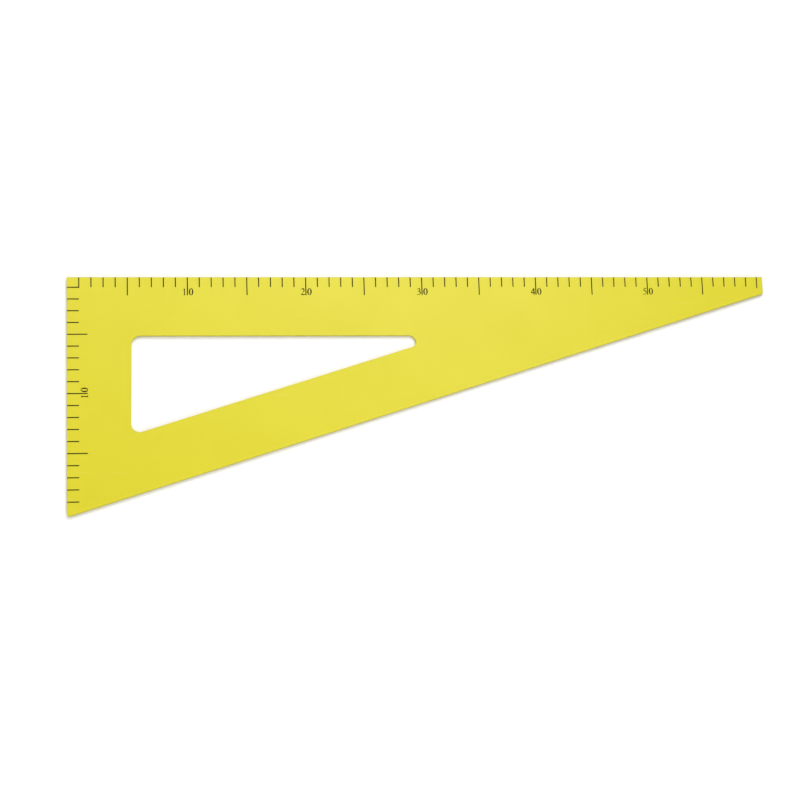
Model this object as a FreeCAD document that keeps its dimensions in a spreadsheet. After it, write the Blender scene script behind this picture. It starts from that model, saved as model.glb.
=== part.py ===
"""Set square: a flat yellow plate with a right angle, a blunt tip and a triangular cut-out.

Both legs carry a centimetre scale. Its lines and numerals are a thin film of black ink on the
upper face, and each group of like marks is a body of its own.

Every sketch is drawn from the sharp corner of the right angle: X runs along the long edge to the
tip, and the short edge runs down Y. The bodies' placements then bring the middle of the outline
to the origin, with the back of the plate on Z = 0.
"""
import FreeCAD, Part
import math
import os
import Sketcher

doc = FreeCAD.newDocument("set_square")

# ---------------------------------------------------------------- driving dimensions, in mm

DIMENSIONS = {
    # the plate
    "long_edge": (605.3, "right-angle corner to the end of the blunt tip"),
    "short_edge": (201.1, "right-angle corner to the foot of the sloping edge"),
    "tip_height": (15.0, "height of the blunt tip's end"),
    "thickness": (3.0, "thickness of the sheet"),
    "right_angle_radius": (0.3, "corner at the right angle, all but sharp"),
    "foot_radius": (2.2, "corner at the foot of the short edge"),
    "tip_foot_radius": (1.5, "lower corner of the blunt tip"),
    "tip_top_radius": (0.4, "upper corner of the blunt tip"),
    "edge_round": (0.2, "broken edges all round both faces"),
    # the cut-out, a triangle with rounded corners and a blunted acute one
    "cutout_top_margin": (50.25, "long edge to the cut-out's sharp upper corner"),
    "cutout_side_margin": (53.1, "short edge to the cut-out's sharp upper corner"),
    "cutout_slope_margin": (48.7, "sloping edge to the cut-out, square to the slope"),
    "cutout_top_skew": (0.2, "the cut-out's top side falls towards the tip, in degrees"),
    "cutout_side_skew": (0.55, "its upright side leans towards the short edge, in degrees"),
    "cutout_nose_reach": (289.4, "short edge to the start of the side that blunts the acute corner"),
    "cutout_nose_lean": (45.0, "that side falls towards the tip, in degrees"),
    "cutout_upper_radius": (7.8, "cut-out corner under the right angle"),
    "cutout_foot_radius": (7.0, "cut-out corner over the foot"),
    "cutout_shoulder_radius": (6.0, "upper end of the blunted corner"),
    "cutout_nose_radius": (4.5, "lower end of the blunted corner"),
    # the scale
    "pitch": (10.0, "one centimetre between lines"),
    "print_offset": (1.35, "the print's zero lies this far outside the long edge"),
    "line_width": (0.9, "width of every line"),
    "short_line": (10.0, "reach of a centimetre line from the print's zero"),
    "long_line": (17.0, "reach of a five-centimetre line from the print's zero"),
    "last_line": (11.3, "reach of the line at 60"),
    "ink_thickness": (0.05, "height of the ink film"),
    # the numerals
    "numeral_height": (5.85, "height of a digit"),
    "digit_cell": (4.5, "width kept for one digit"),
    "left_gap": (0.12, "line's middle to the cell of the digit before it"),
    "right_gap": (0.77, "line's middle to the cell of the digit after it"),
    "numeral_rise": (0.12, "long edge: feet of the digits above the end of their line"),
    "numeral_drop": (0.25, "short edge: feet of the digits beyond the end of their line"),
}

dims = doc.addObject("Spreadsheet::Sheet", "dims")
for row, (alias, (value, note)) in enumerate(DIMENSIONS.items(), start=1):
    dims.set(f"A{row}", note)
    dims.set(f"B{row}", str(value))
    dims.setAlias(f"B{row}", alias)
doc.recompute()


def size(expression):
    """The present value of an expression on the sheet, in mm or degrees."""
    value = dims.evalExpression(expression)
    return float(getattr(value, "Value", value))


# ---------------------------------------------------------------- bodies and sketches


def new_body(label, height):
    """A body with its corner datum moved so that the outline's middle is over the origin."""
    body = doc.addObject("PartDesign::Body", label)
    body.Label = label
    body.setExpression("Placement.Base.x", "-dims.long_edge / 2")
    body.setExpression("Placement.Base.y", "dims.short_edge / 2")
    body.setExpression("Placement.Base.z", height)
    return body


def origin_feature(body, role):
    """A body's own origin plane or axis."""
    return next(f for f in body.Origin.OriginFeatures if f.Role == role)


def new_sketch(body, name):
    """An empty sketch on the body's XY plane."""
    sketch = body.newObject("Sketcher::SketchObject", name)
    sketch.AttachmentSupport = [(origin_feature(body, "XY_Plane"), "")]
    sketch.MapMode = "FlatFace"
    return sketch


def bind(sketch, kind, references, expression):
    """Add a dimension to a sketch and tie it to the sheet."""
    start = size(expression)
    if kind == "Angle":
        start = math.radians(start)
    index = sketch.addConstraint(Sketcher.Constraint(kind, *references, start))
    sketch.setExpression(f"Constraints[{index}]", expression)


def pin_point(sketch, geometry, end, x, y):
    """Hold one end of a line or arc at x, y from the sketch's origin."""
    bind(sketch, "DistanceX", (-1, 1, geometry, end), x)
    bind(sketch, "DistanceY", (-1, 1, geometry, end), y)


def add_loop(sketch, corners):
    """Straight lines from corner to corner, joined end to end. Returns their numbers."""
    points = [FreeCAD.Vector(x, y, 0) for x, y in corners]
    lines = []
    for start, end in zip(points, points[1:] + points[:1]):
        lines.append(sketch.addGeometry(Part.LineSegment(start, end), False))
    for line, following in zip(lines, lines[1:] + lines[:1]):
        sketch.addConstraint(Sketcher.Constraint("Coincident", line, 2, following, 1))
    return lines


def upright_edge(shape, x, y):
    """Name of the upright edge that stands nearest to x, y."""
    best = None
    for number, edge in enumerate(shape.Edges, start=1):
        foot, top = edge.Vertexes[0].Point, edge.Vertexes[-1].Point
        level = math.hypot(top.x - foot.x, top.y - foot.y)
        if level > 1e-6 or abs(top.z - foot.z) < 1e-6:
            continue
        distance = math.hypot(foot.x - x, foot.y - y)
        if best is None or distance < best[0]:
            best = (distance, f"Edge{number}")
    return best[1]


def round_corner(body, name, radius, corner):
    """Fillet the body's upright edge at a corner."""
    base = body.Tip
    fillet = body.newObject("PartDesign::Fillet", name)
    fillet.Base = (base, [upright_edge(base.Shape, *corner)])
    fillet.setExpression("Radius", radius)
    doc.recompute()


# ---------------------------------------------------------------- plate

plate = new_body("plate", "0")

LENGTH = size("dims.long_edge")
HEIGHT = size("dims.short_edge")
TIP = size("dims.tip_height")
RIGHT_ANGLE = (0, 0)
TIP_TOP = (LENGTH, 0)
TIP_FOOT = (LENGTH, -TIP)
FOOT = (0, -HEIGHT)

outline = new_sketch(plate, "outline")
long_side, tip_side, sloping_side, short_side = add_loop(
    outline, [RIGHT_ANGLE, TIP_TOP, TIP_FOOT, FOOT]
)
outline.addConstraint(Sketcher.Constraint("Coincident", long_side, 1, -1, 1))
outline.addConstraint(Sketcher.Constraint("Horizontal", long_side))
outline.addConstraint(Sketcher.Constraint("Vertical", tip_side))
outline.addConstraint(Sketcher.Constraint("Vertical", short_side))
bind(outline, "DistanceX", (long_side, 1, long_side, 2), "dims.long_edge")
bind(outline, "DistanceY", (tip_side, 2, tip_side, 1), "dims.tip_height")
bind(outline, "DistanceY", (short_side, 1, short_side, 2), "dims.short_edge")

sheet = plate.newObject("PartDesign::Pad", "sheet")
sheet.Profile = outline
sheet.setExpression("Length", "dims.thickness")
doc.recompute()

# The cut-out's sloping side runs parallel to the plate's sloping edge, which a construction line
# repeats. Its top and upright sides are a little out of square with the outer edges, as sawn. A
# short leaning side, the nose, blunts its acute corner.
cutout = new_sketch(plate, "cutout")
slope = (HEIGHT - TIP) / LENGTH
top_margin = size("dims.cutout_top_margin")
side_margin = size("dims.cutout_side_margin")
rise = size("dims.cutout_slope_margin") * math.hypot(1, slope)
slope_at = -HEIGHT + rise
fall = math.tan(math.radians(size("dims.cutout_nose_lean")))
upper = (side_margin, -top_margin)
shoulder = (size("dims.cutout_nose_reach"), -top_margin)
nose_x = (fall * shoulder[0] - top_margin - slope_at) / (fall + slope)
nose = (nose_x, slope_at + slope * nose_x)
foot = (side_margin, slope_at + slope * side_margin)
cut_top, cut_nose, cut_slope, cut_side = add_loop(cutout, [upper, shoulder, nose, foot])
edge_line = cutout.addGeometry(
    Part.LineSegment(FreeCAD.Vector(*FOOT, 0), FreeCAD.Vector(*TIP_FOOT, 0)), True
)
pin_point(cutout, edge_line, 1, "0", "-dims.short_edge")
pin_point(cutout, edge_line, 2, "dims.long_edge", "-dims.tip_height")
cutout.addConstraint(Sketcher.Constraint("Parallel", cut_slope, edge_line))
bind(cutout, "Distance", (cut_slope, 2, edge_line), "dims.cutout_slope_margin")
pin_point(cutout, cut_top, 1, "dims.cutout_side_margin", "-dims.cutout_top_margin")
bind(cutout, "DistanceX", (-1, 1, cut_nose, 1), "dims.cutout_nose_reach")
bind(cutout, "Angle", (cut_top,), "-dims.cutout_top_skew")
bind(cutout, "Angle", (cut_nose,), "-dims.cutout_nose_lean")
bind(cutout, "Angle", (cut_side,), "90 - dims.cutout_side_skew")

window = plate.newObject("PartDesign::Pocket", "window")
window.Profile = cutout
window.Type = "ThroughAll"
window.Reversed = True
doc.recompute()

cutout_sides = (cut_top, cut_nose, cut_slope, cut_side)
cutout_corners = [cutout.getPoint(side, 1) for side in cutout_sides]
UPPER, SHOULDER, NOSE, LOWER = [(corner.x, corner.y) for corner in cutout_corners]
cut_area = Part.Face(Part.Wire(cutout.Shape.Edges)).Area
cut_volume = sheet.Shape.Volume - window.Shape.Volume
if abs(cut_volume - cut_area * size("dims.thickness")) > 1:
    raise RuntimeError(f"the cut-out took {cut_volume:.1f} mm3 from the sheet")

round_corner(plate, "right_angle_corner", "dims.right_angle_radius", RIGHT_ANGLE)
round_corner(plate, "foot_corner", "dims.foot_radius", FOOT)
round_corner(plate, "tip_foot_corner", "dims.tip_foot_radius", TIP_FOOT)
round_corner(plate, "tip_top_corner", "dims.tip_top_radius", TIP_TOP)
round_corner(plate, "cutout_upper_corner", "dims.cutout_upper_radius", UPPER)
round_corner(plate, "cutout_foot_corner", "dims.cutout_foot_radius", LOWER)
round_corner(plate, "cutout_shoulder", "dims.cutout_shoulder_radius", SHOULDER)
round_corner(plate, "cutout_nose", "dims.cutout_nose_radius", NOSE)

sharp = plate.Tip
faces = []
for number, face in enumerate(sharp.Shape.Faces, start=1):
    if abs(face.normalAt(0, 0).z) > 0.999:
        faces.append(f"Face{number}")
broken_edges = plate.newObject("PartDesign::Fillet", "broken_edges")
broken_edges.Base = (sharp, faces)
broken_edges.setExpression("Radius", "dims.edge_round")
doc.recompute()

# ---------------------------------------------------------------- lines of the scale

# Each line is a flat strip of ink, square to its edge. It starts where the broken edge meets the
# upper face, and reaches a stated distance from the print's zero.


def add_line(body, edge, number, reach):
    """The line at `number` centimetres on the long or the short edge."""
    strip = body.newObject("PartDesign::AdditiveBox", f"{body.Name}_{number}")
    strip.AttachmentSupport = [(origin_feature(body, "XY_Plane"), "")]
    strip.MapMode = "FlatFace"
    if edge == "long":
        across, along = "Length", "Width"
        middle, end = f"{number} * dims.pitch", f"dims.print_offset - dims.{reach}"
        strip.setExpression(along, f"dims.{reach} - dims.print_offset - dims.edge_round")
        strip.setExpression("AttachmentOffset.Base.x", f"{middle} - dims.line_width / 2")
        strip.setExpression("AttachmentOffset.Base.y", end)
    else:
        across, along = "Width", "Length"
        middle = f"dims.print_offset - {number} * dims.pitch"
        strip.setExpression(along, f"dims.{reach} - dims.edge_round")
        strip.setExpression("AttachmentOffset.Base.x", "dims.edge_round")
        strip.setExpression("AttachmentOffset.Base.y", f"{middle} - dims.line_width / 2")
    strip.setExpression(across, "dims.line_width")
    strip.setExpression("Height", "dims.ink_thickness")
    doc.recompute()
    return strip


def add_row(body, edge, first, last, reach):
    """Every fifth line from `first` to `last`, as one strip and its pattern."""
    strip = add_line(body, edge, first, reach)
    pattern = body.newObject("PartDesign::LinearPattern", f"{strip.Name}_row")
    pattern.Originals = [strip]
    pattern.Direction = (origin_feature(body, "X_Axis" if edge == "long" else "Y_Axis"), [""])
    pattern.Reversed = edge == "short"
    pattern.Mode = "Spacing"
    pattern.Occurrences = (last - first) // 5 + 1
    pattern.setExpression("Offset", "5 * dims.pitch")
    body.Tip = pattern
    doc.recompute()


on_top = "dims.thickness"

# The first lines of both edges meet in an L and close off the corner square.
corner_mark = new_body("corner_mark", on_top)
add_line(corner_mark, "long", 1, "short_line")
foot_of_l = add_line(corner_mark, "short", 1, "short_line")
foot_of_l.setExpression("Length", "dims.pitch + dims.line_width / 2 - dims.edge_round")

# The centimetre lines leave out every fifth place, where a longer line stands.
for edge, last in (("long", 59), ("short", 19)):
    centimetres = new_body(f"{edge}_edge_centimetre_lines", on_top)
    for first in (2, 3, 4, 6):
        add_row(centimetres, edge, first, last, "short_line")
    fives = new_body(f"{edge}_edge_five_centimetre_lines", on_top)
    add_row(fives, edge, 5, last, "long_line")

last_line = new_body("long_edge_last_line", on_top)
add_line(last_line, "long", 60, "last_line")

# ---------------------------------------------------------------- numerals

# Outlines of the digits in units of their height, from the lower left of the digit's cell. Each
# entry is a corner and the bulge of the side that leads to it: 0 is straight, otherwise the
# tangent of a quarter of the arc's angle, positive where the arc turns counter-clockwise.
DIGITS = {
    "1": [
        [
            (0.18, 0.0, 0), (0.545, 0.0, 0), (0.545, 0.03, 0), (0.43, 0.085, -0.25),
            (0.43, 0.985, 0), (0.395, 0.985, 0), (0.175, 0.865, 0), (0.188, 0.84, 0),
            (0.30, 0.79, -0.42), (0.30, 0.085, 0), (0.18, 0.03, -0.25),
        ],
    ],
    "2": [
        [
            (0.044, 0.0, 0), (0.61, 0.0, 0), (0.678, 0.20, 0), (0.65, 0.20, 0),
            (0.52, 0.12, -0.3), (0.185, 0.12, 0), (0.49, 0.47, 0.02), (0.60, 0.74, 0.18),
            (0.33, 1.0, 0.42), (0.06, 0.725, 0.34), (0.09, 0.715, 0), (0.275, 0.88, -0.30),
            (0.46, 0.68, -0.36), (0.35, 0.40, -0.12), (0.044, 0.03, -0.04),
        ],
    ],
    "3": [
        [
            (0.085, 0.775, 0.24), (0.115, 0.765, 0), (0.28, 0.88, -0.28), (0.425, 0.735, -0.41),
            (0.215, 0.545, -0.22), (0.215, 0.505, 0), (0.48, 0.275, -0.36), (0.27, 0.05, -0.42),
            (0.12, 0.105, -0.05), (0.055, 0.045, 0.75), (0.20, -0.012, 0.25), (0.62, 0.325, 0.40),
            (0.43, 0.595, 0.22), (0.55, 0.80, 0.22), (0.33, 1.0, 0.42),
        ],
    ],
    "4": [
        [
            (0.43, 0.97, 0), (0.03, 0.355, 0), (0.03, 0.225, 0), (0.405, 0.225, 0),
            (0.405, 0.0, 0), (0.57, 0.0, 0), (0.57, 0.225, 0), (0.68, 0.225, 0),
            (0.68, 0.355, 0), (0.57, 0.355, 0), (0.57, 0.97, 0),
        ],
        [(0.405, 0.745, 0), (0.155, 0.355, 0), (0.405, 0.355, 0)],
    ],
    "5": [
        [
            (0.645, 0.985, 0), (0.285, 0.985, 0), (0.13, 0.605, 0), (0.52, 0.30, -0.36),
            (0.31, 0.045, -0.40), (0.155, 0.10, -0.05), (0.085, 0.045, 0.75),
            (0.24, -0.012, 0.25), (0.63, 0.34, 0.40), (0.24, 0.73, 0.34), (0.285, 0.87, 0),
            (0.595, 0.87, 0),
        ],
    ],
}
# The nought is two upright ovals about one middle: its height and width, and those of its hole.
NOUGHT_MIDDLE = (0.386, 0.49)
NOUGHT_OVALS = ((1.026, 0.659), (0.889, 0.273))


def add_oval(sketch, height, width):
    """An upright ellipse about the nought's middle, sized by its exposed axes."""
    unit = size("dims.numeral_height")
    middle = FreeCAD.Vector(NOUGHT_MIDDLE[0] * unit, NOUGHT_MIDDLE[1] * unit, 0)
    top = middle + FreeCAD.Vector(0, height * unit / 2, 0)
    side = middle + FreeCAD.Vector(width * unit / 2, 0, 0)
    oval = sketch.addGeometry(Part.Ellipse(top, side, middle), False)
    sketch.exposeInternalGeometry(oval)
    long_axis, short_axis = oval + 1, oval + 2
    x, y = NOUGHT_MIDDLE
    pin_point(sketch, oval, 3, f"dims.numeral_height * {x}", f"dims.numeral_height * {y}")
    sketch.addConstraint(Sketcher.Constraint("Vertical", long_axis))
    bind(sketch, "Distance", (long_axis,), f"dims.numeral_height * {height}")
    bind(sketch, "Distance", (short_axis,), f"dims.numeral_height * {width}")


def bulged_side(start, end, bulge):
    """The arc between two points, and which of its ends are the start and the end."""
    chord = end - start
    turn = 4 * math.atan(bulge)
    radius = chord.Length / 2 / abs(math.sin(turn / 2))
    to_centre = FreeCAD.Vector(-chord.y, chord.x, 0) / (2 * math.tan(turn / 2))
    centre = (start + end) / 2 + to_centre
    circle = Part.Circle(centre, FreeCAD.Vector(0, 0, 1), radius)
    ends = (1, 2) if bulge > 0 else (2, 1)
    first, last = (start, end) if bulge > 0 else (end, start)
    arc = Part.ArcOfCircle(circle, circle.parameter(first), circle.parameter(last))
    return arc, ends, radius


def add_outline(sketch, corners):
    """A closed run of lines and arcs through the corners of one digit outline."""
    unit = size("dims.numeral_height")
    sides = []
    for (x0, y0, _), (x1, y1, bulge) in zip(corners[-1:] + corners[:-1], corners):
        start = FreeCAD.Vector(x0, y0, 0) * unit
        end = FreeCAD.Vector(x1, y1, 0) * unit
        radius = None
        if bulge:
            curve, ends, radius = bulged_side(start, end, bulge)
        else:
            curve, ends = Part.LineSegment(start, end), (1, 2)
        side = sketch.addGeometry(curve, False)
        sides.append((side, *ends))
        if radius:
            bind(sketch, "Radius", (side,), f"dims.numeral_height * {radius / unit:.6f}")
    for (x, y, _), (side, _, end), (following, start, _) in zip(
        corners, sides, sides[1:] + sides[:1]
    ):
        sketch.addConstraint(Sketcher.Constraint("Coincident", side, end, following, start))
        pin_point(sketch, side, end, f"dims.numeral_height * {x}", f"dims.numeral_height * {y}")


def add_digit(body, digit, x, y, turn):
    """One digit of ink, with the lower left of its cell at x, y and turned by `turn` degrees."""
    sketch = new_sketch(body, f"{body.Name}_digit_{digit}")
    if digit == "0":
        for height, width in NOUGHT_OVALS:
            add_oval(sketch, height, width)
    else:
        for corners in DIGITS[digit]:
            add_outline(sketch, corners)
    upright = FreeCAD.Rotation(FreeCAD.Vector(0, 0, 1), turn)
    sketch.AttachmentOffset = FreeCAD.Placement(FreeCAD.Vector(0, 0, 0), upright)
    sketch.setExpression("AttachmentOffset.Base.x", x)
    sketch.setExpression("AttachmentOffset.Base.y", y)
    pad = body.newObject("PartDesign::Pad", f"{body.Name}_ink_{digit}")
    pad.Profile = sketch
    pad.setExpression("Length", "dims.ink_thickness")
    doc.recompute()


def add_numeral(label, number, edge):
    """A two-digit numeral, one digit on each side of its line, with its feet at the line's end."""
    body = new_body(label, on_top)
    before, after = str(number)
    cell = "dims.left_gap + dims.digit_cell"
    if edge == "long":
        line = f"{number} * dims.pitch"
        level = "dims.print_offset - dims.long_line + dims.numeral_rise"
        add_digit(body, before, f"{line} - ({cell})", level, 0)
        add_digit(body, after, f"{line} + dims.right_gap", level, 0)
    else:
        line = f"dims.print_offset - {number} * dims.pitch"
        level = "dims.long_line + dims.numeral_drop"
        add_digit(body, before, level, f"{line} - ({cell})", 90)
        add_digit(body, after, level, f"{line} + dims.right_gap", 90)


for number in range(10, 60, 10):
    add_numeral(f"numeral_{number}", number, "long")
add_numeral("short_edge_numeral_10", 10, "short")

# ---------------------------------------------------------------- checks and files

doc.recompute()
for item in doc.Objects:
    if "Invalid" in item.State or "Error" in item.State:
        raise RuntimeError(f"{item.Label} failed: {item.State}")

os.makedirs("parts", exist_ok=True)
bodies = [item for item in doc.Objects if item.TypeId == "PartDesign::Body"]
for body in bodies:
    shape = body.Shape
    if shape.isNull() or not shape.isValid():
        raise RuntimeError(f"{body.Label} has no valid shape")
    box = shape.BoundBox
    print(
        f"{body.Label}: {len(shape.Solids)} solids, {shape.Volume:.3f} mm3, "
        f"X {box.XMin:.2f} to {box.XMax:.2f}, Y {box.YMin:.2f} to {box.YMax:.2f}, "
        f"Z {box.ZMin:.2f} to {box.ZMax:.2f}"
    )
    shape.exportStep(f"parts/{body.Label}.step")
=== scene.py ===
"""Set square, 60 cm: a yellow plastic plate with a black printed centimetre scale."""
import math

import bpy
import numpy as np
from mathutils import Euler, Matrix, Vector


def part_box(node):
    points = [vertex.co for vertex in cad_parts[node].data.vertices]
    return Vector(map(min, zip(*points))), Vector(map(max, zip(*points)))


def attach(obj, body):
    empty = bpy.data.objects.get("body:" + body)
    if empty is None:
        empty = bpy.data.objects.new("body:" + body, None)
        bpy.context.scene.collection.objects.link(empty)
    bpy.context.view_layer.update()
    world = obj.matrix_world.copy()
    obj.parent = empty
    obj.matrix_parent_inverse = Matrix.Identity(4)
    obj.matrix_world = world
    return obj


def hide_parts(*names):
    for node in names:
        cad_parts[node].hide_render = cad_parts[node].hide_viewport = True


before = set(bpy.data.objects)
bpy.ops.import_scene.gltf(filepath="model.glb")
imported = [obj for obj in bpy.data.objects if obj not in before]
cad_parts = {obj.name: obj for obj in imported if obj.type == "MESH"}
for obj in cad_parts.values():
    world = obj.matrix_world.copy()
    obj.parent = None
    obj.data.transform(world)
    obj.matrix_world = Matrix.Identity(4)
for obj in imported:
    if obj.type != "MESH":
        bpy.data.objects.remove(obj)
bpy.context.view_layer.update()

# ---------------------------------------------------------------- the plate
# The plate is one sheet of opaque yellow plastic, 3 mm thick, sawn to a right-angled outline with
# a blunt tip. The window is routed out of it, and every edge is broken lightly by hand.

MM = 0.001
low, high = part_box("plate")
LENGTH = high.x - low.x
THICKNESS = high.z - low.z
SHORT_EDGE = 201.1 * MM
TIP_HEIGHT = 15.0 * MM
RIGHT_ANGLE_RADIUS = 0.3 * MM
FOOT_RADIUS = 2.2 * MM
TIP_FOOT_RADIUS = 1.5 * MM
TIP_TOP_RADIUS = 0.4 * MM
EDGE_ROUND = 0.2 * MM

WINDOW_TOP_MARGIN = 50.25 * MM
WINDOW_SIDE_MARGIN = 53.1 * MM
WINDOW_SLOPE_MARGIN = 48.7 * MM
WINDOW_TOP_SKEW = math.radians(0.2)
WINDOW_SIDE_SKEW = math.radians(0.55)
WINDOW_NOSE_REACH = 289.4 * MM
WINDOW_NOSE_LEAN = math.radians(45.0)
WINDOW_UPPER_RADIUS = 7.8 * MM
WINDOW_FOOT_RADIUS = 7.0 * MM
WINDOW_NOSE_RADIUS = 4.5 * MM
WINDOW_SHOULDER_RADIUS = 6.0 * MM

# Outer corners, counter-clockwise: right angle, foot, tip's foot, tip's top.
right_angle = np.array([low.x, high.y])
outer_corners = right_angle + np.array(
    [(0, 0), (0, -SHORT_EDGE), (LENGTH, -TIP_HEIGHT), (LENGTH, 0)]
)


def crossing(point_a, way_a, point_b, way_b):
    """Where two lines meet: a + s u = b + t v, solved for s and t."""
    steps = np.linalg.solve(np.column_stack([way_a, -way_b]), point_b - point_a)
    return point_a + steps[0] * way_a


# The window's slope is parallel to the plate's, and its top and upright sides are a little out of
# square. Between the top and the slope a short side leans across and blunts the acute corner.
slope_way = outer_corners[2] - outer_corners[1]
slope_way /= np.linalg.norm(slope_way)
slope_inward = np.array([-slope_way[1], slope_way[0]])
window_slope = outer_corners[1] + WINDOW_SLOPE_MARGIN * slope_inward
window_upper = right_angle + np.array([WINDOW_SIDE_MARGIN, -WINDOW_TOP_MARGIN])
top_way = np.array([math.cos(WINDOW_TOP_SKEW), -math.sin(WINDOW_TOP_SKEW)])
side_way = np.array([-math.sin(WINDOW_SIDE_SKEW), -math.cos(WINDOW_SIDE_SKEW)])
nose_way = np.array([math.cos(WINDOW_NOSE_LEAN), -math.sin(WINDOW_NOSE_LEAN)])
shoulder = window_upper + top_way * (WINDOW_NOSE_REACH - WINDOW_SIDE_MARGIN) / top_way[0]
window_corners = np.array([
    window_upper,
    crossing(window_upper, side_way, window_slope, slope_way),
    crossing(shoulder, nose_way, window_slope, slope_way),
    shoulder,
])

# Both outlines have four corner arcs and four sides, in the same numbers of steps: the upright
# side, the slope, the short blunt side and the top.
ARC_STEPS = 14
SIDE_STEPS = (96, 220, 8, 220)
SMALLEST_RADIUS = 0.05 * MM


def rounded_outline(corners, radii, inset):
    """Closed outline, drawn in by an inset, with each corner P turned into a tangent arc.

    With a and b the unit vectors from P to its neighbours, h half the angle between them and d
    the inset, the corner moves to Q = P + (a + b) / |a + b| * d / sin h and its radius shrinks to
    r - d, but no further than a hair's width. The arc's centre is Q + (a + b) / |a + b| * r / sin h
    for that smaller r, and it spans pi - 2 h. Each side then runs evenly to the next arc.
    """
    before = np.roll(corners, 1, axis=0) - corners
    after = np.roll(corners, -1, axis=0) - corners
    before /= np.linalg.norm(before, axis=1)[:, None]
    after /= np.linalg.norm(after, axis=1)[:, None]
    bisector = before + after
    bisector /= np.linalg.norm(bisector, axis=1)[:, None]
    half = np.arccos(np.clip((before * bisector).sum(1), -1, 1))
    radii = np.maximum(np.array(radii) - inset, SMALLEST_RADIUS)
    centres = corners + bisector * ((radii + inset) / np.sin(half))[:, None]
    middle = np.arctan2(-bisector[:, 1], -bisector[:, 0])
    reach = math.pi / 2 - half

    def arc_point(k, t):
        angle = middle[k] + reach[k] * (2 * t - 1)
        return centres[k] + radii[k] * np.column_stack([np.cos(angle), np.sin(angle)])

    points = []
    for k in range(len(corners)):
        start = arc_point(k, np.array([1.0]))
        end = arc_point((k + 1) % len(corners), np.array([0.0]))
        t = (np.arange(SIDE_STEPS[k]) / SIDE_STEPS[k])[:, None]
        points += [arc_point(k, np.arange(ARC_STEPS) / ARC_STEPS), start + (end - start) * t]
    return np.concatenate(points)


def outer_outline(inset):
    """The plate's outline, drawn in by an inset."""
    radii = [RIGHT_ANGLE_RADIUS, FOOT_RADIUS, TIP_FOOT_RADIUS, TIP_TOP_RADIUS]
    return rounded_outline(outer_corners, radii, inset)


def window_outline(inset):
    """The window's outline, grown into the sheet by an inset."""
    radii = [WINDOW_UPPER_RADIUS, WINDOW_FOOT_RADIUS, WINDOW_NOSE_RADIUS, WINDOW_SHOULDER_RADIUS]
    return rounded_outline(window_corners, radii, -inset)


# The section of the plate, once round: the rounds are quarter circles, the wall and the faces are
# straight, and two rows on each face follow close beside the edge. Each row is the share of the way
# from the outer outline to the window, the distance in from the nearer outline, the height, how far
# the row belongs to the sawn wall, and how far it belongs to the broken arris.
ROUND_STEPS = 4
WALL_STEPS = 4
FACE_STEPS = 12
MARGINS = np.array([0.9, 0.4]) * MM
MARGIN_ARRIS = np.array([0.0, 0.3])
ARRIS_AT_ENDS, ARRIS_SWELL = 0.55, 0.45
quarter = np.linspace(0, math.pi / 2, ROUND_STEPS + 1)
round_in = EDGE_ROUND * (1 - np.cos(quarter))
round_up = EDGE_ROUND * (1 - np.sin(quarter))
round_wall = np.cos(quarter) ** 2
round_arris = ARRIS_AT_ENDS + ARRIS_SWELL * np.sin(2 * quarter)
wall = np.linspace(EDGE_ROUND, THICKNESS - EDGE_ROUND, WALL_STEPS + 1)[1:-1]
face = np.linspace(0, 1, FACE_STEPS + 1)[1:-1]


def section_rows(*columns):
    """One block of section rows, with single values spread over all of its rows."""
    return np.column_stack(np.broadcast_arrays(*columns)).astype(float)


lower_round = section_rows(0, round_in, round_up, round_wall, round_arris)
upper_round = section_rows(0, round_in, THICKNESS - round_up, round_wall, round_arris)[::-1]
outer_edge = np.concatenate([
    section_rows(0, MARGINS, THICKNESS, 0, MARGIN_ARRIS),
    upper_round,
    section_rows(0, 0, wall[::-1], 1, 0),
    lower_round,
    section_rows(0, MARGINS[::-1], 0, 0, MARGIN_ARRIS[::-1]),
])

# The window's edge is the same from below upwards, with a share of 1.
window_edge = outer_edge[::-1].copy()
window_edge[:, 0] = 1
section = np.concatenate([
    outer_edge,
    section_rows(face, MARGINS[0], 0, 0, 0),
    window_edge,
    section_rows(face[::-1], MARGINS[0], THICKNESS, 0, 0),
])


def ring_mesh(name, grid, along, across):
    """Mesh of a grid that closes both ways, with a UV map of lengths along and across it.

    Each face joins the grid's points (i, j), (i + 1, j), (i + 1, j + 1) and (i, j + 1), and the
    last row and column go on to the first.
    """
    rows, columns = grid.shape[:2]
    i, j = np.meshgrid(np.arange(rows), np.arange(columns), indexing="ij")
    next_i, next_j = (i + 1) % rows, (j + 1) % columns
    quads = np.stack(
        [i * columns + j, next_i * columns + j, next_i * columns + next_j, i * columns + next_j],
        axis=-1,
    ).reshape(-1, 4)
    mesh = bpy.data.meshes.new(name)
    mesh.from_pydata(grid.reshape(-1, 3), [], quads)
    u = np.stack([along[j], along[j], along[j + 1], along[j + 1]], axis=-1)
    v = np.stack([across[i], across[i + 1], across[i + 1], across[i]], axis=-1)
    lengths = np.stack([u, v], axis=-1).reshape(-1)
    mesh.uv_layers.new(name="lengths").data.foreach_set("uv", lengths.astype(np.float32))
    mesh.polygons.foreach_set("use_smooth", np.ones(len(quads), bool))
    mesh.update()
    return mesh


# The plate's surface: a row with share w goes once round at (1 - w) * outer + w * window, at the
# row's height, with both outlines drawn into the sheet by the row's distance.
to_window, inset, height, wall_mask, arris_mask = section.T[:, :, None]
from_outer = np.stack([outer_outline(row) for row in inset[:, 0]])
from_window = np.stack([window_outline(row) for row in inset[:, 0]])
flat = from_outer * (1 - to_window[..., None]) + from_window * to_window[..., None]
levels = np.broadcast_to(low.z + height, flat.shape[:2])
grid = np.concatenate([flat, levels[..., None]], axis=-1)

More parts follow.
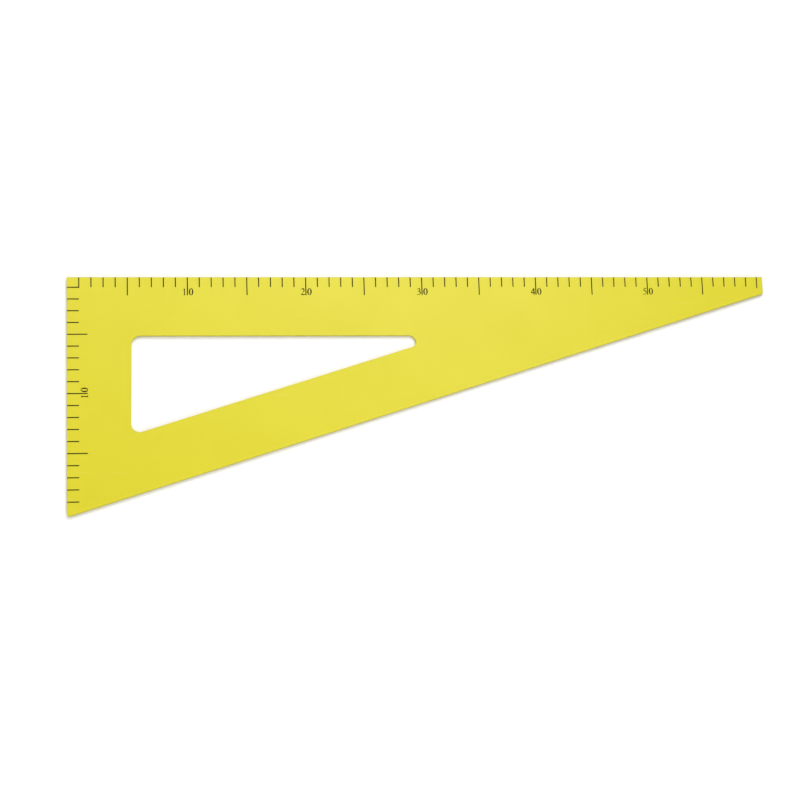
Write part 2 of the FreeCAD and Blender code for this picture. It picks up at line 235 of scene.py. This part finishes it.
outline = outer_outline(0.0)
steps_along = np.linalg.norm(np.roll(outline, -1, axis=0) - outline, axis=1)
along = np.concatenate([[0], np.cumsum(steps_along)])
steps_across = np.linalg.norm(np.roll(grid[:, 0], -1, axis=0) - grid[:, 0], axis=1)
across = np.concatenate([[0], np.cumsum(steps_across)])

plate_mesh = ring_mesh("yellow_plate", grid, along, across)
for name, mask in (("wall", wall_mask), ("arris", arris_mask)):
    values = np.broadcast_to(mask, flat.shape[:2]).reshape(-1).astype(np.float32)
    plate_mesh.attributes.new(name, "FLOAT", "POINT").data.foreach_set("value", values)
plate = bpy.data.objects.new("yellow_plate", plate_mesh)
bpy.context.scene.collection.objects.link(plate)

# Finish of the plate: satin plastic, marked a little by the cutter and by handling.
# Its walls and arrises are painted darker as shade.


def new_group(name, inputs, outputs):
    """Empty shader group with named float, vector or colour sockets."""
    kinds = {"float": "NodeSocketFloat", "vector": "NodeSocketVector", "colour": "NodeSocketColor"}
    group = bpy.data.node_groups.new(name, "ShaderNodeTree")
    for direction, sockets in (("INPUT", inputs), ("OUTPUT", outputs)):
        for socket, kind in sockets.items():
            group.interface.new_socket(socket, in_out=direction, socket_type=kinds[kind])
    return group, group.nodes.new("NodeGroupInput"), group.nodes.new("NodeGroupOutput")


def add_node(tree, kind, settings=None, **inputs):
    """A node with its settings, and its inputs set to values or linked to sockets.

    An input is named with underscores for spaces, or as i0, i1 and so on by its number.
    """
    node = tree.nodes.new(kind)
    for key, value in (settings or {}).items():
        setattr(node, key, value)
    for key, value in inputs.items():
        socket = node.inputs[int(key[1:]) if key[1:].isdigit() else key.replace("_", " ")]
        if isinstance(value, bpy.types.NodeSocket):
            tree.links.new(value, socket)
        else:
            socket.default_value = value
    return node


def noise(tree, place, scale, detail=2.0, roughness=0.5):
    """Grey noise between 0 and 1, about 0.5."""
    return add_node(
        tree, "ShaderNodeTexNoise", None, Vector=place, Scale=scale, Detail=detail,
        Roughness=roughness,
    ).outputs["Fac"]


def remap(tree, value, low_in, high_in, low_out, high_out):
    """A value carried from one range to another and held inside it."""
    return add_node(
        tree, "ShaderNodeMapRange", None, Value=value, From_Min=low_in, From_Max=high_in,
        To_Min=low_out, To_Max=high_out,
    ).outputs["Result"]


def calc(tree, operation, a, b):
    """Result of one operation on two values or sockets."""
    return add_node(tree, "ShaderNodeMath", {"operation": operation}, i0=a, i1=b).outputs[0]


def mix_colour(tree, share, first, second):
    """Colour that goes from the first to the second as the share goes from 0 to 1."""
    return add_node(
        tree, "ShaderNodeMix", {"data_type": "RGBA"}, i0=share, i6=first, i7=second
    ).outputs[2]


# Handling marks: hairline scratches that run several ways and break off, and soft clouds. The
# hairlines are the crests of noise that is stretched along each way. Each range is the span of
# grey over which a mark comes in.
HAIRLINE_TURNS = (0.35, 1.25, 2.4)
HAIRLINE_STRETCH = (9, 260, 1)
HAIRLINE_SHIFT = np.array([3.7, 1.9, 0])
HAIRLINE_RANGE = (0.70, 0.735)
BREAK_SCALE = 38.0
UNBROKEN_RANGE = (0.46, 0.58)
CLOUD_SCALE = 14.0
marks, marks_in, marks_out = new_group(
    "handling_marks",
    {"Place": "vector", "Density": "float"},
    {"Scratches": "float", "Clouds": "float"},
)
scratches = 0.0
for number, turn in enumerate(HAIRLINE_TURNS):
    turned = add_node(
        marks, "ShaderNodeMapping", None, Vector=marks_in.outputs["Place"],
        Rotation=(0, 0, turn), Scale=HAIRLINE_STRETCH, Location=number * HAIRLINE_SHIFT,
    ).outputs[0]
    hair = remap(marks, noise(marks, turned, 1.0), *HAIRLINE_RANGE, 0, 1)
    scratches = calc(marks, "MAXIMUM", scratches, hair)
breaks = noise(marks, marks_in.outputs["Place"], BREAK_SCALE, detail=1.0)
unbroken = remap(marks, breaks, *UNBROKEN_RANGE, 0, 1)
scratches = calc(marks, "MULTIPLY", scratches, unbroken)
scratches = calc(marks, "MULTIPLY", scratches, marks_in.outputs["Density"])
clouds = noise(marks, marks_in.outputs["Place"], CLOUD_SCALE, detail=5.0, roughness=0.6)
marks.links.new(scratches, marks_out.inputs["Scratches"])
marks.links.new(clouds, marks_out.inputs["Clouds"])

PLATE_SCRATCHING = 0.6
yellow = bpy.data.materials.new("yellow_plastic")
yellow.use_nodes = True
tree = yellow.node_tree
shader = tree.nodes["Principled BSDF"]
place = tree.nodes.new("ShaderNodeTexCoord").outputs["Object"]
wall_part = add_node(tree, "ShaderNodeAttribute", {"attribute_name": "wall"}).outputs["Fac"]
arris_part = add_node(tree, "ShaderNodeAttribute", {"attribute_name": "arris"}).outputs["Fac"]
plate_marks = add_node(
    tree, "ShaderNodeGroup", {"node_tree": marks}, Place=place, Density=PLATE_SCRATCHING
)
plate_scratches = plate_marks.outputs["Scratches"]
plate_clouds = plate_marks.outputs["Clouds"]

# The cutter left upright marks on the walls, under a millimetre apart.
CUTTER_STRETCH = (1400, 90, 1)
lengths = add_node(tree, "ShaderNodeUVMap", {"uv_map": "lengths"}).outputs["UV"]
down_wall = add_node(
    tree, "ShaderNodeMapping", None, Vector=lengths, Scale=CUTTER_STRETCH
).outputs[0]
cutter_marks = noise(tree, down_wall, 1.0)

# Colour: a slight unevenness of the sheet, paler hairlines, walls and arrises painted darker as
# shade (the walls varied by the cutter's marks), with paler flecks where the arrises are worn.
SHEET_YELLOW = (0.685, 0.612, 0.012, 1)
SHEET_DEEPER = (0.665, 0.592, 0.008, 1)
# Walls: painted shade, a darker yellow than the sheet, varied by the cutter's marks.
WALL_SHADE_YELLOW = (0.61, 0.545, 0.018, 1)
WALL_SHADE_DEEPER = (0.51, 0.455, 0.014, 1)
# Arrises: painted shade, a darker yellow along the broken edges.
ARRIS_SHADE_YELLOW = (0.47, 0.415, 0.022, 1)
WORN_YELLOW = (0.74, 0.68, 0.16, 1)
UNEVEN_RANGE = (0.35, 0.65)
HAIRLINE_PALENESS = 0.3
CUTTER_RANGE = (0.38, 0.62)
FLECK_SCALE = 420.0
ARRIS_SHADE_RANGE, LEAST_ARRIS_SHADE, MOST_ARRIS_SHADE = (0.3, 0.55), 0.45, 0.95
WORN_RANGE, MOST_WORN = (0.60, 0.70), 0.8
uneven = remap(tree, plate_clouds, *UNEVEN_RANGE, 0, 1)
colour = mix_colour(tree, uneven, SHEET_YELLOW, SHEET_DEEPER)
hairline_share = calc(tree, "MULTIPLY", plate_scratches, HAIRLINE_PALENESS)
colour = mix_colour(tree, hairline_share, colour, WORN_YELLOW)
wall_share = remap(tree, cutter_marks, *CUTTER_RANGE, 0, 1)
wall_shade_colour = mix_colour(tree, wall_share, WALL_SHADE_YELLOW, WALL_SHADE_DEEPER)
colour = mix_colour(tree, wall_part, colour, wall_shade_colour)
flecks = noise(tree, place, FLECK_SCALE, detail=3.0)
arris_shade = remap(tree, flecks, *ARRIS_SHADE_RANGE, LEAST_ARRIS_SHADE, MOST_ARRIS_SHADE)
wear = remap(tree, flecks, *WORN_RANGE, 0, MOST_WORN)
# The arrises are darkened with painted shade, patchy with the flecks; the paler flecks are wear.
arris_shade_share = calc(tree, "MULTIPLY", arris_part, arris_shade)
worn_share = calc(tree, "MULTIPLY", arris_part, wear)
colour = mix_colour(tree, arris_shade_share, colour, ARRIS_SHADE_YELLOW)
colour = mix_colour(tree, worn_share, colour, WORN_YELLOW)
tree.links.new(colour, shader.inputs["Base Color"])

# Satin: the sheet is smoother than its sawn walls, and scratches dull it.
CLOUD_RANGE = (0.3, 0.7)
SMOOTHEST_SATIN, ROUGHEST_SATIN = 0.36, 0.42
SCRATCH_DULLING = 0.3
WALL_DULLING = 0.22
PLASTIC_IOR = 1.5
satin = remap(tree, plate_clouds, *CLOUD_RANGE, SMOOTHEST_SATIN, ROUGHEST_SATIN)
dulled = calc(tree, "ADD", satin, calc(tree, "MULTIPLY", plate_scratches, SCRATCH_DULLING))
rough = calc(tree, "ADD", dulled, calc(tree, "MULTIPLY", wall_part, WALL_DULLING))
tree.links.new(rough, shader.inputs["Roughness"])
shader.inputs["IOR"].default_value = PLASTIC_IOR

# Relief: fine grain of the sheet, hairlines, and the cutter's marks down the walls.
GRAIN_SCALE = 1500.0
GRAIN_RELIEF, HAIRLINE_RELIEF, CUTTER_RELIEF = 0.7, 1.2, 5.0
RELIEF_STRENGTH, RELIEF_DEPTH = 0.35, 0.04 * MM
grain = calc(tree, "MULTIPLY", noise(tree, place, GRAIN_SCALE), GRAIN_RELIEF)
hairlines = calc(tree, "MULTIPLY", plate_scratches, HAIRLINE_RELIEF)
cutter = calc(tree, "MULTIPLY", calc(tree, "MULTIPLY", cutter_marks, wall_part), CUTTER_RELIEF)
relief = calc(tree, "ADD", calc(tree, "SUBTRACT", grain, hairlines), cutter)
bump = add_node(
    tree, "ShaderNodeBump", None, Strength=RELIEF_STRENGTH, Distance=RELIEF_DEPTH, Height=relief
)
tree.links.new(bump.outputs["Normal"], shader.inputs["Normal"])

plate_mesh.materials.append(yellow)
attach(plate, "root")
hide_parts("plate")

# ---------------------------------------------------------------- the printed scale
# The scale is one pass of black screen ink on the upper face: centimetre lines, longer lines every
# five centimetres, and numerals. The film is matt, 0.05 mm thick and a little uneven.

INK_BLACK = (0.010, 0.0085, 0.004, 1)
INK_THIN = (0.040, 0.033, 0.006, 1)
INK_SCRATCHING = 0.5
INK_SHEEN = 0.08
SMOOTHEST_MATT, ROUGHEST_MATT = 0.62, 0.75
SPECKLE_SCALE = 3200.0
THIN_RANGE = (0.55, 0.75)
SPECKLE_STRENGTH, SPECKLE_DEPTH = 0.3, 0.03 * MM
ink = bpy.data.materials.new("black_ink")
ink.use_nodes = True
tree = ink.node_tree
shader = tree.nodes["Principled BSDF"]
place = tree.nodes.new("ShaderNodeTexCoord").outputs["Object"]
ink_marks = add_node(
    tree, "ShaderNodeGroup", {"node_tree": marks}, Place=place, Density=INK_SCRATCHING
)
speckle = noise(tree, place, SPECKLE_SCALE)
thin_ink = remap(tree, speckle, *THIN_RANGE, 0, 1)
thin_ink = calc(tree, "MAXIMUM", thin_ink, ink_marks.outputs["Scratches"])
tree.links.new(mix_colour(tree, thin_ink, INK_BLACK, INK_THIN), shader.inputs["Base Color"])
matt = remap(tree, ink_marks.outputs["Clouds"], *CLOUD_RANGE, SMOOTHEST_MATT, ROUGHEST_MATT)
tree.links.new(matt, shader.inputs["Roughness"])
shader.inputs["Specular IOR Level"].default_value = INK_SHEEN
bump = add_node(
    tree, "ShaderNodeBump", None, Strength=SPECKLE_STRENGTH, Distance=SPECKLE_DEPTH, Height=speckle
)
tree.links.new(bump.outputs["Normal"], shader.inputs["Normal"])

for name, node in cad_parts.items():
    if name != "plate":
        for slot in node.material_slots:
            slot.material = ink

# ---------------------------------------------------------------- floor, light and camera
# The set square lies flat on a plain white table in a bright room, lit mostly from beyond its long
# edge, and is seen from above.

FLOOR_HALF = 8.0
FLOOR_GAP = 0.05 * MM
FLOOR_WHITE = (0.95, 0.95, 0.955, 1)
FLOOR_ROUGHNESS = 0.9
FLOOR_SHEEN = 0.1
floor_mesh = bpy.data.meshes.new("floor")
floor_corners = FLOOR_HALF * np.array([(-1, -1, 0), (1, -1, 0), (1, 1, 0), (-1, 1, 0)], float)
floor_mesh.from_pydata(floor_corners - (0, 0, FLOOR_GAP), [], [(0, 1, 2, 3)])
floor = bpy.data.objects.new("floor", floor_mesh)
bpy.context.scene.collection.objects.link(floor)
white = bpy.data.materials.new("floor_white")
white.use_nodes = True
white_shader = white.node_tree.nodes["Principled BSDF"]
white_shader.inputs["Base Color"].default_value = FLOOR_WHITE
white_shader.inputs["Roughness"].default_value = FLOOR_ROUGHNESS
white_shader.inputs["Specular IOR Level"].default_value = FLOOR_SHEEN

# The soft boxes reach only the middle of the table, so its far parts glow to stay white. The glow
# comes in between the near and the far distance from the middle.
GLOW = 0.95
NEAR, FAR = 0.4, 1.5
tree = white.node_tree
place = tree.nodes.new("ShaderNodeTexCoord").outputs["Object"]
from_middle = add_node(tree, "ShaderNodeVectorMath", {"operation": "LENGTH"}, i0=place)
glow = remap(tree, from_middle.outputs["Value"], NEAR, FAR, 0, GLOW)
tree.links.new(glow, white_shader.inputs["Emission Color"])
white_shader.inputs["Emission Strength"].default_value = 1.0
floor_mesh.materials.append(white)

# The room is even above, and white low down, where it meets the table. The rise is the sine of the
# angle above the table.
ROOM_LOW, ROOM_ABOVE = 1.05, 0.28
LOW_RISE, ABOVE_RISE = 0.08, 0.20
room = bpy.data.worlds.new("room")
room.use_nodes = True
tree = room.node_tree
way = tree.nodes.new("ShaderNodeTexCoord").outputs["Generated"]
rise = add_node(tree, "ShaderNodeSeparateXYZ", None, Vector=way).outputs["Z"]
brightness = remap(tree, rise, LOW_RISE, ABOVE_RISE, ROOM_LOW, ROOM_ABOVE)
background = tree.nodes["Background"]
background.inputs["Color"].default_value = (1, 1, 1, 1)
tree.links.new(brightness, background.inputs["Strength"])
bpy.context.scene.world = room


def soft_box(name, position, width, depth, power):
    """A rectangular soft light at x, y, z, turned to face the origin, with its power in watts.

    It is tipped by atan2(|x, y|, z) from straight down, then turned about Z to look inwards.
    """
    light = bpy.data.lights.new(name, "AREA")
    light.shape = "RECTANGLE"
    light.size, light.size_y = width, depth
    light.energy = power
    stand = bpy.data.objects.new(name, light)
    bpy.context.scene.collection.objects.link(stand)
    x, y, z = position
    stand.location = position
    stand.rotation_euler = Euler((math.atan2(math.hypot(x, y), z), 0, math.atan2(x, -y)))


soft_box("back_soft_box", (0.10, 1.30, 1.30), width=1.6, depth=1.0, power=18.6)
soft_box("high_soft_box", (0.05, 0.56, 1.18), width=0.96, depth=0.6, power=3.5)
soft_box("front_soft_box", (0.0, -0.78, 0.78), width=0.96, depth=0.6, power=5.1)
soft_box("left_soft_box", (-0.87, 0.12, 0.80), width=0.6, depth=0.6, power=1.4)
soft_box("middle_soft_box", (0.25, 0.30, 1.15), width=0.45, depth=0.45, power=0.75)

# The camera stands almost 1.4 m up, a little in front of the foot of the short edge. Its lens and
# sensor are in millimetres.
LENS, SENSOR_WIDTH = 74.96, 36.0
CAMERA_PLACE = (-0.2246, -0.2317, 1.3839)
CAMERA_TURNS = np.radians([9.444, -7.916, -1.919])
camera = bpy.data.cameras.new("camera")
camera.lens = LENS
camera.sensor_width = SENSOR_WIDTH
tripod = bpy.data.objects.new("camera", camera)
tripod.location = CAMERA_PLACE
tripod.rotation_euler = Euler(CAMERA_TURNS)
bpy.context.scene.collection.objects.link(tripod)
bpy.context.scene.camera = tripod

bpy.context.scene.view_settings.view_transform = "Standard"
bpy.context.scene.view_settings.look = "None"
